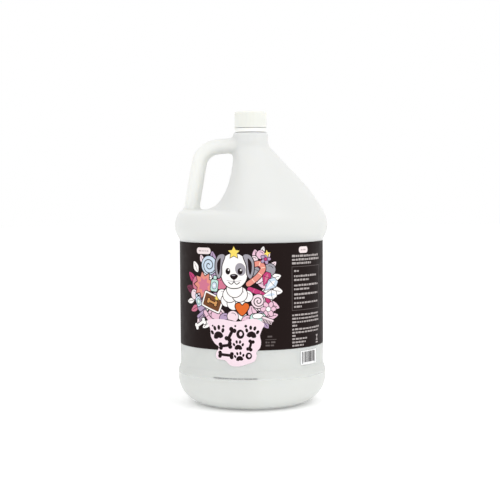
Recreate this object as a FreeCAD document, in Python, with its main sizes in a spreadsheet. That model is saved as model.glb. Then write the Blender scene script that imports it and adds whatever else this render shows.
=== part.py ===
import FreeCAD, Part

import math
import os

import Sketcher

# A one-gallon pet shampoo jug: blow-moulded bottle with a hollow handle, screw cap with a foam liner,
# tamper ring, wrap label and barcode sticker.
#
# Frame: +Z up, origin at the centre of the standing ring, the handle on the -X side. Millimetres.

DIMENSIONS = {
    # the bottle's outline, from the standing ring up
    "wall": 1.1,
    "foot_inner_radius": 41.0,
    "base_rise": 6.0,
    "base_round": 3.0,
    "corner_radius": 29.8,
    "low_bumper_radius": 76.7,
    "low_bumper_height": 36.0,
    "low_bumper_round": 9.0,
    "panel_radius": 74.3,
    "panel_bottom": 44.5,
    "panel_top": 170.2,
    "panel_round": 4.0,
    "high_bumper_radius": 79.15,
    "high_bumper_bottom": 179.0,
    "high_bumper_top": 191.5,
    "bumper_round": 14.0,
    "shoulder_round": 24.0,
    # the shoulder above the bumper, and the finger recess on the handle's side
    "shoulder_height": 201.0,
    "shoulder_radius": 74.5,
    "shoulder_arc": 160.0,
    "shoulder_slope": 29.5,
    "cone_slope": 42.9,
    "recess_top": 263.0,
    "recess_rise": 62.0,
    "recess_radius": 18.2,
    "recess_depth": 30.0,
    # the collar, the neck and its thread
    "collar_radius": 18.2,
    "collar_bottom": 268.0,
    "collar_top": 280.8,
    "collar_round": 1.4,
    "collar_wall": 3.0,
    "neck_radius": 12.6,
    "neck_bore": 10.85,
    "neck_top": 299.5,
    "lip_round": 0.4,
    "bead_radius": 13.8,
    "bead_bottom": 286.0,
    "bead_top": 287.2,
    "thread_radius": 13.7,
    "thread_pitch": 4.233,
    "thread_start": 290.4,
    "thread_turns": 1.5,
    "thread_root": 1.9,
    "thread_crest": 0.9,
    # the hollow handle
    "handle_thickness": 15.6,
    "handle_width": 24.0,
    "handle_start_out": 10.0,
    "handle_start_height": 268.2,
    "handle_corner_out": 50.8,
    "handle_corner_height": 265.4,
    "handle_bend": 21.0,
    "handle_end_out": 63.6,
    "handle_end_height": 193.0,
    "handle_blend": 4.0,
    # the screw cap and its liner
    "cap_radius": 16.7,
    "cap_bottom": 285.8,
    "cap_top": 302.5,
    "cap_plate": 1.7,
    "cap_bore": 14.2,
    "cap_round": 1.6,
    "cap_thread_radius": 12.95,
    "cap_thread_turns": 1.25,
    "rib_groove": 0.3,
    "rib_bottom": 286.8,
    "rib_top": 300.4,
    "liner_radius": 13.6,
    "liner_bottom": 299.6,
    "liner_thickness": 1.1,
    # the tamper ring
    "ring_bottom": 281.2,
    "ring_top": 285.3,
    "ring_bore": 14.6,
    "ring_lip": 13.2,
    "ring_lip_bottom": 282.6,
    "ring_lip_top": 283.8,
    "nib_height": 0.3,
    "nib_radius": 0.45,
    # the wrap label and the barcode sticker
    "film_gap": 0.05,
    "film": 0.2,
    "film_bottom": 33.5,
    "film_top": 169.1,
    "film_seam": 1.5,
    "sticker": 0.1,
    "sticker_bottom": 46.0,
    "sticker_top": 60.0,
    "sticker_start": 41.0,
    "sticker_end": 60.5,
}
RIBS = 72
NIBS = 10
# The shoulder is lofted through level outlines at these heights.
OUTLINE_HEIGHTS = (201.0, 204.0, 210.0, 219.0, 233.0, 247.0, 259.0, 268.0)
UP = FreeCAD.Vector(0, 0, 1)
# How far a thread's root goes into the neck's wall and into the cap's, and how near counts as touching.
ROOT_TUCK = 0.25
CAP_TUCK = 0.2
TOUCH = 0.01

doc = FreeCAD.newDocument("shampoo_jug")


def make_sheet():
    """The spreadsheet of driving dimensions, one alias a row."""
    dims = doc.addObject("Spreadsheet::Sheet", "dims")
    for row, (alias, number) in enumerate(DIMENSIONS.items(), start=1):
        dims.set(f"A{row}", alias)
        dims.set(f"B{row}", str(number))
        dims.setAlias(f"B{row}", alias)
    doc.recompute()
    return dims


sheet = make_sheet()


def value(expression):
    """What an expression of the sheet's cells comes to now."""
    return float(sheet.evalExpression(expression.replace("dims.", "")))


# ---- Part shapes of the bottle: hollow forms that a sketch and a pad can't give ----

def point(across, up):
    return FreeCAD.Vector(across, 0, up)


def rounded_wire(corners, closed=True):
    """Straight lines through corners (across, up, bend radius) in the XZ plane, with tangent arcs."""
    count = len(corners)
    joints = []
    for i, (across, up, radius) in enumerate(corners):
        here = point(across, up)
        if radius == 0:
            joints.append((here, here, here))
            continue
        before = (point(*corners[i - 1][:2]) - here).normalize()
        after = (point(*corners[(i + 1) % count][:2]) - here).normalize()
        half = before.getAngle(after) / 2
        reach = radius / math.tan(half)
        middle = here + (before + after).normalize() * (radius / math.sin(half) - radius)
        joints.append((here + before * reach, middle, here + after * reach))
    edges = []
    for i, (start, middle, end) in enumerate(joints):
        if (end - start).Length > 0:
            edges.append(Part.Arc(start, middle, end).toShape())
        if i + 1 < count or closed:
            edges.append(Part.LineSegment(end, joints[(i + 1) % count][0]).toShape())
    return Part.Wire(edges)


def spun(corners):
    """A solid of revolution about Z from an outline in the XZ plane."""
    return Part.Face(rounded_wire(corners)).revolve(FreeCAD.Vector(0, 0, 0), UP, 360)


def shoulder_reach(height):
    """How far the round shoulder stands from the axis: an arc, and then a straight cone."""
    arc = sheet.shoulder_arc
    slope = math.radians(sheet.shoulder_slope)
    cone = math.radians(sheet.cone_slope)
    rise = height - sheet.shoulder_height
    arc_rise = arc * (math.sin(cone) - math.sin(slope))
    turned = math.asin(math.sin(slope) + min(rise, arc_rise) / arc)
    reach = sheet.shoulder_radius - arc * (math.cos(slope) - math.cos(turned))
    reach -= max(rise - arc_rise, 0) * math.tan(cone)
    return max(reach, sheet.collar_radius)


def recess_reach(height):
    """How far the shoulder stands from the axis behind the handle: a quarter of an ellipse."""
    drop = max(sheet.recess_top - height, 0) / sheet.recess_rise
    reach = sheet.recess_radius + sheet.recess_depth * (1 - math.sqrt(max(1 - drop * drop, 0)))
    return min(reach, shoulder_reach(height))


def level_outline(height, shrink):
    """A level outline of the shoulder: half a circle, closed by half an ellipse behind the handle."""
    front = FreeCAD.Vector(0, -(shoulder_reach(height) - shrink), height - shrink)
    back = FreeCAD.Vector(0, shoulder_reach(height) - shrink, height - shrink)
    centre = FreeCAD.Vector(0, 0, height - shrink)
    round_half = Part.Arc(front, centre + FreeCAD.Vector(back.y, 0, 0), back).toShape()
    behind = centre - FreeCAD.Vector(recess_reach(height) - shrink, 0, 0)
    if recess_reach(height) > shoulder_reach(height) - TOUCH:
        return Part.Wire([round_half, Part.Arc(back, behind, front).toShape()])
    ellipse = Part.Ellipse(back, behind, centre)
    return Part.Wire([round_half, Part.ArcOfEllipse(ellipse, 0, math.pi).toShape()])


def shoulder_solid(shrink):
    """The shoulder's loft, with every outline drawn in and lowered by shrink."""
    outlines = [level_outline(height, shrink) for height in OUTLINE_HEIGHTS]
    return Part.makeLoft(outlines, True, False)


def handle_solid(shrink):
    """The handle: an oval swept along two straight runs and the bend between them."""
    start = (-sheet.handle_start_out, sheet.handle_start_height, 0)
    corner = (-sheet.handle_corner_out, sheet.handle_corner_height, sheet.handle_bend)
    end = (-sheet.handle_end_out, sheet.handle_end_height + shrink, 0)
    path = rounded_wire([start, corner, end], closed=False)
    along = (point(*corner[:2]) - point(*start[:2])).normalize()
    oval = Part.Ellipse(FreeCAD.Vector(0, 0, 0), sheet.handle_width / 2 - shrink,
                        sheet.handle_thickness / 2 - shrink)
    section = Part.Wire([oval.toShape()])
    section.Placement = FreeCAD.Placement(point(*start[:2]),
                                          FreeCAD.Rotation(FreeCAD.Vector(0, 1, 0), UP, along, "ZXY"))
    return path.makePipeShell([section], True, False)


def bottle_below(shrink):
    """The bottle from the standing ring to the top of the upper bumper, drawn in by shrink."""
    low = sheet.low_bumper_radius - shrink
    panel = sheet.panel_radius - shrink
    high = sheet.high_bumper_radius - shrink
    push_up = sheet.foot_inner_radius - sheet.base_rise
    return spun([
        (0, sheet.base_rise + shrink, 0),
        (push_up, sheet.base_rise + shrink, sheet.base_round),
        (sheet.foot_inner_radius, shrink, sheet.base_round),
        (low, shrink, sheet.corner_radius - shrink),
        (low, sheet.low_bumper_height, sheet.low_bumper_round - shrink),
        (panel, sheet.panel_bottom, sheet.low_bumper_round + shrink),
        (panel, sheet.panel_top, sheet.panel_round + shrink),
        (high, sheet.high_bumper_bottom, sheet.bumper_round - shrink),
        (high, sheet.high_bumper_top, sheet.shoulder_round - shrink),
        (sheet.shoulder_radius - shrink, sheet.shoulder_height - shrink, 0),
        (0, sheet.shoulder_height - shrink, 0),
    ])


def ridge(radius, crest_radius, root, start, turns):
    """A screw thread's ridge, a trapezium swept up a helix, with its root tucked into the wall."""
    helix = Part.makeLongHelix(sheet.thread_pitch, sheet.thread_pitch * turns, radius)
    half_crest = sheet.thread_crest / 2
    profile = Part.makePolygon([
        point(radius - ROOT_TUCK, -root / 2),
        point(crest_radius, -half_crest),
        point(crest_radius, half_crest),
        point(radius - ROOT_TUCK, root / 2),
        point(radius - ROOT_TUCK, -root / 2),
    ])
    solid = Part.Wire(helix.Edges).makePipeShell([profile], True, True)
    solid.translate(FreeCAD.Vector(0, 0, start))
    return solid


def shared_edges(shape, one, other):
    """The edges of shape that lie on the surfaces of both of two solids, where they meet."""
    shared = []
    for edge in shape.Edges:
        span = edge.LastParameter - edge.FirstParameter
        spots = [Part.Vertex(edge.valueAt(edge.FirstParameter + span * part)) for part in (0.1, 0.5, 0.9)]
        if all(spot.distToShape(solid.Shells[0])[0] < TOUCH for spot in spots for solid in (one, other)):
            shared.append(edge)
    return shared


def make_jug():
    """The blow-moulded bottle: one hollow wall from the standing ring to the neck, handle included."""
    collar = spun([
        (0, sheet.collar_bottom, 0),
        (sheet.collar_radius, sheet.collar_bottom, 0),
        (sheet.collar_radius, sheet.collar_top, sheet.collar_round),
        (0, sheet.collar_top, 0),
    ])
    neck = spun([
        (0, sheet.collar_bottom, 0),
        (sheet.neck_radius, sheet.collar_bottom, 0),
        (sheet.neck_radius, sheet.bead_bottom, 0),
        (sheet.bead_radius, sheet.bead_bottom, 0),
        (sheet.bead_radius, (sheet.bead_bottom + sheet.bead_top) / 2, 0),
        (sheet.neck_radius, sheet.bead_top, 0),
        (sheet.neck_radius, sheet.neck_top, sheet.lip_round),
        (0, sheet.neck_top, 0),
    ])
    bottle = bottle_below(0).fuse([shoulder_solid(0), collar]).removeSplitter().Solids[0]
    handle = handle_solid(0)
    handled = bottle.fuse(handle).removeSplitter().Solids[0]
    blended = handled.makeFillet(sheet.handle_blend, shared_edges(handled, bottle, handle))
    outside = blended.fuse(neck)
    throat = spun([
        (0, sheet.collar_bottom - 2 * sheet.wall, 0),
        (sheet.collar_radius - sheet.collar_wall, sheet.collar_bottom - 2 * sheet.wall, 0),
        (sheet.collar_radius - sheet.collar_wall, sheet.collar_top - sheet.collar_wall, sheet.collar_wall),
        (sheet.neck_bore, sheet.collar_top, 0),
        (sheet.neck_bore, sheet.neck_top + 1, 0),
        (0, sheet.neck_top + 1, 0),
    ])
    inside = bottle_below(sheet.wall).fuse([shoulder_solid(sheet.wall), throat, handle_solid(sheet.wall)])
    thread = ridge(sheet.neck_radius, sheet.thread_radius, sheet.thread_root,
                   sheet.thread_start, sheet.thread_turns)
    jug = doc.addObject("Part::Feature", "jug")
    jug.Label = "jug"
    jug.Shape = outside.cut(inside).fuse(thread).Solids[0]
    jug.Placement = FreeCAD.Placement()
    return jug


# ---- the fitted pieces: PartDesign bodies bound to the sheet ----

def new_body(label):
    body = doc.addObject("PartDesign::Body", label)
    body.Label = label
    return body


def new_sketch(body, name, role, lift=None):
    """A sketch on one of the body's own origin planes, moved along its normal by an expression."""
    plane = next(feature for feature in body.Origin.OriginFeatures if feature.Role == role)
    sketch = body.newObject("Sketcher::SketchObject", name)
    sketch.AttachmentSupport = [(plane, "")]
    sketch.MapMode = "FlatFace"
    if lift:
        sketch.setExpression(".AttachmentOffset.Base.z", lift)
    return sketch


def bind(sketch, kind, *place):
    """Adds a constraint whose size is an expression, the last of place."""
    index = sketch.addConstraint(Sketcher.Constraint(kind, *place[:-1], value(place[-1])))
    sketch.setExpression(f"Constraints[{index}]", place[-1])


def cell(name):
    """A plain alias as an expression on the sheet; anything else is one already."""
    return f"dims.{name}" if name in DIMENSIONS else name


def polygon(sketch, corners):
    """A closed outline of straight lines through corners, each a pair of aliases or expressions."""
    corners = [(cell(across), cell(up)) for across, up in corners]
    places = [FreeCAD.Vector(value(across), value(up), 0) for across, up in corners]
    count = len(corners)
    for i in range(count):
        sketch.addGeometry(Part.LineSegment(places[i], places[(i + 1) % count]), False)
    for i in range(count):
        sketch.addConstraint(Sketcher.Constraint("Coincident", i, 2, (i + 1) % count, 1))
    for i, (across, up) in enumerate(corners):
        if across == "0":
            sketch.addConstraint(Sketcher.Constraint("PointOnObject", i, 1, -2))
        else:
            bind(sketch, "DistanceX", -1, 1, i, 1, across)
        bind(sketch, "DistanceY", -1, 1, i, 1, up)


def turned(body, name, sketch, angle=None):
    """A Revolution of a sketch about its vertical axis, all the way round or by an expression."""
    feature = body.newObject("PartDesign::Revolution", name)
    feature.Profile = (sketch, [""])
    feature.ReferenceAxis = (sketch, ["V_Axis"])
    feature.Angle = 360.0
    if angle:
        feature.setExpression("Angle", angle)
    doc.recompute()
    return feature


def rounded(body, name, base, radius, across, up):
    """A Fillet of the round edges at a radius and a height, all of them expressions."""
    edges = []
    for number, edge in enumerate(base.Shape.Edges, start=1):
        curve = edge.Curve
        if curve.TypeId != "Part::GeomCircle":
            continue
        off_radius = abs(curve.Radius - value(cell(across)))
        off_height = abs(curve.Center.z - value(cell(up)))
        if max(off_radius, off_height) < TOUCH:
            edges.append(f"Edge{number}")
    fillet = body.newObject("PartDesign::Fillet", name)
    fillet.Base = (base, edges)
    fillet.Radius = value(cell(radius))
    fillet.setExpression("Radius", cell(radius))
    doc.recompute()
    return fillet


def around(body, name, feature, sketch, count):
    """A PolarPattern of a feature about Z, which becomes the body's tip."""
    pattern = body.newObject("PartDesign::PolarPattern", name)
    pattern.Originals = [feature]
    pattern.Axis = (sketch, ["N_Axis"])
    pattern.Angle = 360
    pattern.Occurrences = count
    body.Tip = pattern
    doc.recompute()
    return pattern


def make_screw_cap():
    """The cap: a fluted skirt with a thread inside, closed by a plate."""
    body = new_body("screw_cap")
    outline = new_sketch(body, "cap_outline", "XZ_Plane")
    polygon(outline, [
        ("cap_bore", "cap_bottom"),
        ("cap_radius", "cap_bottom"),
        ("cap_radius", "cap_top"),
        ("0", "cap_top"),
        ("0", "dims.cap_top - dims.cap_plate"),
        ("cap_bore", "dims.cap_top - dims.cap_plate"),
    ])
    shell = turned(body, "cap_shell", outline)
    rounded(body, "cap_edge", shell, "cap_round", "cap_radius", "cap_top")
    groove = new_sketch(body, "rib_outline", "XY_Plane", "dims.rib_bottom")
    centre = FreeCAD.Vector(value("cap_radius"), 0, 0)
    groove.addGeometry(Part.Circle(centre, UP, value("rib_groove")), False)
    groove.addConstraint(Sketcher.Constraint("PointOnObject", 0, 3, -1))
    bind(groove, "DistanceX", -1, 1, 0, 3, "dims.cap_radius")
    bind(groove, "Radius", 0, "dims.rib_groove")
    before = body.Shape.Volume
    flute = body.newObject("PartDesign::Pocket", "flute")
    flute.Profile = (groove, [""])
    flute.Reversed = True
    flute.setExpression("Length", "dims.rib_top - dims.rib_bottom")
    doc.recompute()
    around(body, "flutes", flute, groove, RIBS)
    assert body.Shape.Volume < before - RIBS, "the flutes cut nothing"
    return body


def make_cap_thread(cap):
    """The cap's own thread, half a pitch from the neck's, so that the two run past each other."""
    thread = new_sketch(cap, "cap_thread_outline", "XZ_Plane")
    start = "dims.thread_start - dims.thread_pitch / 2"
    wall = f"dims.cap_bore + {CAP_TUCK}"
    polygon(thread, [
        (wall, f"{start} - dims.thread_root / 2"),
        (wall, f"{start} + dims.thread_root / 2"),
        ("cap_thread_radius", f"{start} + dims.thread_crest / 2"),
        ("cap_thread_radius", f"{start} - dims.thread_crest / 2"),
    ])
    helix = cap.newObject("PartDesign::AdditiveHelix", "cap_thread")
    helix.Profile = (thread, [""])
    helix.ReferenceAxis = (thread, ["V_Axis"])
    helix.Mode = "pitch-turns-angle"
    helix.setExpression("Pitch", "dims.thread_pitch")
    helix.setExpression("Turns", "dims.cap_thread_turns")
    doc.recompute()
    return cap


def make_cap_liner():
    """The foam wad that the cap presses on the neck's rim."""
    body = new_body("cap_liner")
    outline = new_sketch(body, "liner_outline", "XZ_Plane")
    polygon(outline, [
        ("0", "liner_bottom"),
        ("liner_radius", "liner_bottom"),
        ("liner_radius", "dims.liner_bottom + dims.liner_thickness"),
        ("0", "dims.liner_bottom + dims.liner_thickness"),
    ])
    turned(body, "liner_disc", outline)
    return body


def make_tamper_ring():
    """The ring left under the cap: a band with a lip that can't pass the neck's bead, and broken nibs."""
    body = new_body("tamper_ring")
    outline = new_sketch(body, "ring_outline", "XZ_Plane")
    polygon(outline, [
        ("ring_bore", "ring_bottom"),
        ("cap_radius", "ring_bottom"),
        ("cap_radius", "ring_top"),
        ("ring_bore", "ring_top"),
        ("ring_bore", "ring_lip_top"),
        ("ring_lip", "ring_lip_top"),
        ("ring_bore", "ring_lip_bottom"),
    ])
    turned(body, "ring_band", outline)
    nib = new_sketch(body, "nib_outline", "XY_Plane", "dims.ring_top")
    out = "(dims.cap_radius + dims.ring_bore) / 2"
    nib.addGeometry(Part.Circle(FreeCAD.Vector(value(out), 0, 0), UP, value("nib_radius")), False)
    nib.addConstraint(Sketcher.Constraint("PointOnObject", 0, 3, -1))
    bind(nib, "DistanceX", -1, 1, 0, 3, out)
    bind(nib, "Radius", 0, "dims.nib_radius")
    pad = body.newObject("PartDesign::Pad", "nib")
    pad.Profile = (nib, [""])
    pad.setExpression("Length", "dims.nib_height")
    doc.recompute()
    around(body, "nibs", pad, nib, NIBS)
    return body


def make_label_film():
    """The wrap label: a clear film that follows the panel and the lower bumper, open at its seam behind."""
    body = new_body("label_film")
    outline = new_sketch(body, "film_outline", "YZ_Plane")
    panel = "dims.panel_radius + dims.film_gap"
    low = "dims.low_bumper_radius + dims.film_gap"
    polygon(outline, [
        (panel, "film_top"),
        (panel, "panel_bottom"),
        (low, "low_bumper_height"),
        (low, "film_bottom"),
        (f"{low} + dims.film", "film_bottom"),
        (f"{low} + dims.film", "low_bumper_height"),
        (f"{panel} + dims.film", "panel_bottom"),
        (f"{panel} + dims.film", "film_top"),
    ])
    seam = "360 - dims.film_seam / dims.panel_radius * 180 / pi"
    film = turned(body, "film_wrap", outline, seam)
    bends = (
        ("bumper_inside", "dims.low_bumper_round + dims.film_gap", low, "low_bumper_height"),
        ("panel_inside", "dims.low_bumper_round - dims.film_gap", panel, "panel_bottom"),
        ("bumper_outside", "dims.low_bumper_round + dims.film_gap + dims.film",
         f"{low} + dims.film", "low_bumper_height"),
        ("panel_outside", "dims.low_bumper_round - dims.film_gap - dims.film",
         f"{panel} + dims.film", "panel_bottom"),
    )
    for name, radius, across, up in bends:
        film = rounded(body, name, film, radius, across, up)
    return body


def make_barcode_sticker():
    """The barcode sticker on the film, to the right of the front."""
    body = new_body("barcode_sticker")
    outline = new_sketch(body, "sticker_outline", "XZ_Plane")
    under = "dims.panel_radius + dims.film_gap + dims.film"
    polygon(outline, [
        (under, "sticker_bottom"),
        (f"{under} + dims.sticker", "sticker_bottom"),
        (f"{under} + dims.sticker", "sticker_top"),
        (under, "sticker_top"),
    ])
    turned(body, "sticker_sheet", outline, "dims.sticker_end - dims.sticker_start")
    body.Placement = FreeCAD.Placement(FreeCAD.Vector(0, 0, 0), FreeCAD.Rotation(UP, 0))
    body.setExpression(".Placement.Rotation.Angle", "dims.sticker_start - 90")
    doc.recompute()
    return body


def main():
    cap = make_cap_thread(make_screw_cap())
    nodes = [make_jug(), cap, make_cap_liner(), make_tamper_ring(), make_label_film(),
             make_barcode_sticker()]
    doc.recompute()
    for obj in doc.Objects:
        assert not {"Invalid", "Error"} & set(obj.State), f"{obj.Label} failed: {obj.State}"
    os.makedirs("parts", exist_ok=True)
    for node in nodes:
        shape = node.Shape
        assert not shape.isNull() and shape.isValid(), f"{node.Label} has no valid shape"
        shape.exportStep(f"parts/{node.Label}.step")
        box = shape.BoundBox
        print(f"{node.Label}: {shape.Volume:.1f} mm3, from z {box.ZMin:.1f} to {box.ZMax:.1f}")


main()
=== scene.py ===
import math

import bpy
import numpy as np
from mathutils import Matrix, Vector, geometry


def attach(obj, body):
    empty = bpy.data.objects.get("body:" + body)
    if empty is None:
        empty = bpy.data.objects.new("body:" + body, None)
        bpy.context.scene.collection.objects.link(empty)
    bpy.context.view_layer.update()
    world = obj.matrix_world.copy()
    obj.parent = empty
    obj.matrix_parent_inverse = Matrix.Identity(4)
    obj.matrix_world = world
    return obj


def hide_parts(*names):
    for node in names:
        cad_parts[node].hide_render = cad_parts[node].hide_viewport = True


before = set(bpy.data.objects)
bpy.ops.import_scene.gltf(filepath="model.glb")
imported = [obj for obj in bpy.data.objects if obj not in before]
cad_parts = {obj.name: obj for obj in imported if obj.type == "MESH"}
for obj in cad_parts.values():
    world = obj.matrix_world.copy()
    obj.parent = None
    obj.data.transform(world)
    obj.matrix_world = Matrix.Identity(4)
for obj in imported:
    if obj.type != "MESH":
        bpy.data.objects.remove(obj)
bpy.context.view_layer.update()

# A one-gallon pet shampoo jug. Lengths are millimetres until a mesh is made, and metres from then on.
MM = 0.001
RNG = np.random.default_rng(7)

# The bottle's outline. It is the CAD model's, except that the low bumper's edge is 1 to 2 mm lower.
FOOT_INNER = 41.0
BASE_RISE = 6.0
BASE_ROUND = 3.0
CORNER_ROUND = 29.8
LOW_BUMPER = 76.7
LOW_BUMPER_TOP = 35.0
LOW_ROUND = 9.0
PANEL = 74.3
PANEL_BOTTOM = 42.5
PANEL_TOP = 170.2
PANEL_ROUND = 4.0
HIGH_BUMPER = 79.15
HIGH_BUMPER_BOTTOM = 179.0
HIGH_BUMPER_TOP = 191.5
BUMPER_ROUND = 14.0
SHOULDER_ROUND = 24.0
SHOULDER = 74.5
SHOULDER_HEIGHT = 201.0
SHOULDER_ARC = 160.0
SHOULDER_SLOPE = math.radians(29.5)
CONE_SLOPE = math.radians(42.9)
RIM_ROUND = 7.0
RECESS_TOP = 263.0
RECESS_RISE = 62.0
RECESS = 18.2
RECESS_DEPTH = 30.0
COLLAR = 18.2
COLLAR_BOTTOM = 268.0
COLLAR_TOP = 280.8
COLLAR_ROUND = 1.4
NECK = 12.6
NECK_BORE = 10.85
NECK_TOP = 299.5
BEAD = 13.8
BEAD_BOTTOM = 286.0
BEAD_TOP = 287.2
THREAD = 13.7
THREAD_PITCH = 4.233
THREAD_BOTTOM = 290.4
THREAD_TURNS = 1.5
THREAD_STEPS = 96
THREAD_SUNK = 0.2
THREAD_ROOT_HALF = 0.95
THREAD_CREST_HALF = 0.45
NECK_SUNK = 1.3
FILM_RADIUS = 74.6
FILM_THICK = 0.25
FILM_GAP = 1.5
FILM_BOTTOM = 33.5
FILM_TOP = 169.1
BAND_BOTTOM = 63.2
STICKER_RADIUS = 74.74
BARS_BOTTOM = 48.2
BARS_TOP = 59.0
BARS_START = 42.4
BARS_END = 58.6
GUARD_BAR_DROP = 1.2
HANDLE_START = (-10.0, 268.2)
HANDLE_CORNER = (-50.8, 265.4)
HANDLE_END = (-63.6, 193.0)
HANDLE_BEND = 21.0
HANDLE_HALF_THICK = 7.8
HANDLE_HALF_WIDE = 12.0


# ---- outlines in a plane ----

def rounded_outline(corners, step=0.6):
    """Points along straight lines through corners (across, up, radius), with tangent arcs at the corners."""
    points = []
    count = len(corners)
    for i, (across, up, radius) in enumerate(corners):
        here = np.array([across, up])
        if radius == 0:
            points.append(here)
            continue
        before = np.array(corners[i - 1][:2]) - here
        after = np.array(corners[(i + 1) % count][:2]) - here
        before /= np.linalg.norm(before)
        after /= np.linalg.norm(after)
        half = math.acos(np.clip(before @ after, -1, 1)) / 2
        centre = here + (before + after) / np.linalg.norm(before + after) * radius / math.sin(half)
        first = here + before * radius / math.tan(half) - centre
        turn = math.pi - 2 * half
        side = np.sign(first[1] * before[0] - first[0] * before[1])
        for part in np.linspace(0, side * turn, max(3, int(radius * turn / step))):
            cos, sin = math.cos(part), math.sin(part)
            swung = np.array([cos * first[0] - sin * first[1], sin * first[0] + cos * first[1]])
            points.append(centre + swung)
    return np.array(points)


def outline_distance(outline, across, up):
    """Signed distance from points to a closed outline, negative inside."""
    nearest = np.full(across.shape, 1e9)
    inside = np.zeros(across.shape, bool)
    for (ax, ay), (bx, by) in zip(outline, np.roll(outline, -1, axis=0)):
        dx, dy = bx - ax, by - ay
        length = dx * dx + dy * dy
        if length < 1e-12:
            continue
        part = np.clip(((across - ax) * dx + (up - ay) * dy) / length, 0, 1)
        gap = (across - ax - part * dx) ** 2 + (up - ay - part * dy) ** 2
        nearest = np.minimum(nearest, gap)
        if dy != 0:
            crosses = (ay > up) != (by > up)
            inside ^= crosses & (across < (up - ay) * dx / dy + ax)
    return np.where(inside, -1.0, 1.0) * np.sqrt(nearest)


def shoulder_reach(height):
    """How far the round shoulder stands from the axis: an arc, and then a straight cone."""
    rise = height - SHOULDER_HEIGHT
    arc_rise = SHOULDER_ARC * (math.sin(CONE_SLOPE) - math.sin(SHOULDER_SLOPE))
    turned = np.arcsin(np.clip(math.sin(SHOULDER_SLOPE) + np.minimum(rise, arc_rise) / SHOULDER_ARC, -1, 1))
    reach = SHOULDER - SHOULDER_ARC * (math.cos(SHOULDER_SLOPE) - np.cos(turned))
    return np.maximum(reach - np.maximum(rise - arc_rise, 0) * math.tan(CONE_SLOPE), COLLAR)


def recess_reach(height):
    """How far the shoulder stands from the axis behind the handle: a quarter of an ellipse."""
    drop = np.clip(RECESS_TOP - height, 0, RECESS_RISE) / RECESS_RISE
    return RECESS + RECESS_DEPTH * (1 - np.sqrt(1 - drop * drop))


def body_corners():
    """The bottle from the axis at the base, round the bumpers and the panel, to the shoulder's foot."""
    return [
        (0, BASE_RISE, 0),
        (FOOT_INNER - BASE_RISE, BASE_RISE, BASE_ROUND),
        (FOOT_INNER, 0, BASE_ROUND),
        (LOW_BUMPER, 0, CORNER_ROUND),
        (LOW_BUMPER, LOW_BUMPER_TOP, LOW_ROUND),
        (PANEL, PANEL_BOTTOM, LOW_ROUND),
        (PANEL, PANEL_TOP, PANEL_ROUND),
        (HIGH_BUMPER, HIGH_BUMPER_BOTTOM, BUMPER_ROUND),
        (HIGH_BUMPER, HIGH_BUMPER_TOP, SHOULDER_ROUND),
    ]


# ---- meshes ----

def make_piece(name, points, faces, materials, body, slot, face_materials=None, smooth=True):
    """A mesh object from points in millimetres, riding on a CAD body."""
    mesh = bpy.data.meshes.new(name)
    corners = [tuple(point) for point in np.asarray(points) * MM]
    mesh.from_pydata(corners, [], [tuple(face) for face in faces])
    for material in materials:
        mesh.materials.append(material)
    if face_materials is not None:
        mesh.polygons.foreach_set("material_index", face_materials)
    mesh.polygons.foreach_set("use_smooth", [smooth] * len(mesh.polygons))
    mesh.update()
    piece = bpy.data.objects.new(name, mesh)
    bpy.context.scene.collection.objects.link(piece)
    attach(piece, body)
    return piece


def lathe(outline, segments):
    """Points and faces of a closed outline (across, up) turned about Z."""
    angles = 2 * math.pi * np.arange(segments) / segments
    count = len(outline)
    points = [(across * math.sin(a), -across * math.cos(a), up) for a in angles for across, up in outline]
    faces = []
    for ring in range(segments):
        here, there = ring * count, (ring + 1) % segments * count
        for i in range(count):
            j = (i + 1) % count
            faces.append((here + i, there + i, there + j, here + j))
    return points, faces


def surface_net(field, origin, step):
    """Points and quads of the zero surface of a sampled field, negative inside."""
    inside = field < 0
    cells = tuple(size - 1 for size in field.shape)
    total = np.zeros(cells + (3,), np.float32)
    hits = np.zeros(cells, np.int8)

    def window(corner):
        return tuple(slice(offset, offset + size) for offset, size in zip(corner, cells))

    for axis in range(3):
        for side in range(4):
            low = [side & 1, side >> 1]
            low.insert(axis, 0)
            high = list(low)
            high[axis] = 1
            one, other = field[window(low)], field[window(high)]
            crossed = inside[window(low)] != inside[window(high)]
            part = one[crossed] / (one[crossed] - other[crossed])
            spot = np.repeat(np.array([low], np.float32), len(part), axis=0)
            spot[:, axis] += part
            total[crossed] += spot
            hits[crossed] += 1
    active = hits > 0
    number = np.full(cells, -1, np.int64)
    number[active] = np.arange(active.sum())
    points = np.argwhere(active) + total[active] / hits[active][:, None]
    quads = []
    for axis in range(3):
        inner = tuple(slice(0 if a == axis else 1, -1) for a in range(3))
        shifted = tuple(slice(1, None) if a == axis else slice(1, -1) for a in range(3))
        starts, ends = inside[inner], inside[shifted]
        across, up = [a for a in range(3) if a != axis]
        for flip in (False, True):
            at = np.argwhere((starts & ~ends) if not flip else (~starts & ends))
            at += np.array([0 if a == axis else 1 for a in range(3)])
            ring = []
            for da, du in ((1, 1), (0, 1), (0, 0), (1, 0)):
                cell = at.copy()
                cell[:, across] -= da
                cell[:, up] -= du
                ring.append(number[tuple(cell.T)])
            quad = np.stack(ring, axis=1)
            quads.append(quad[:, ::-1] if flip != (axis == 1) else quad)
    return points * step + origin, np.concatenate(quads)


def sampled(field, points, origin, step):
    """The field at points, straight-line interpolated."""
    spot = (points - origin) / step
    low = np.clip(np.floor(spot).astype(int), 0, np.array(field.shape) - 2)
    part = spot - low
    out = 0
    for corner in range(8):
        offset = np.array([corner & 1, corner >> 1 & 1, corner >> 2 & 1])
        weight = np.prod(np.where(offset, part, 1 - part), axis=1)
        out = out + weight * field[tuple((low + offset).T)]
    return out


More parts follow.
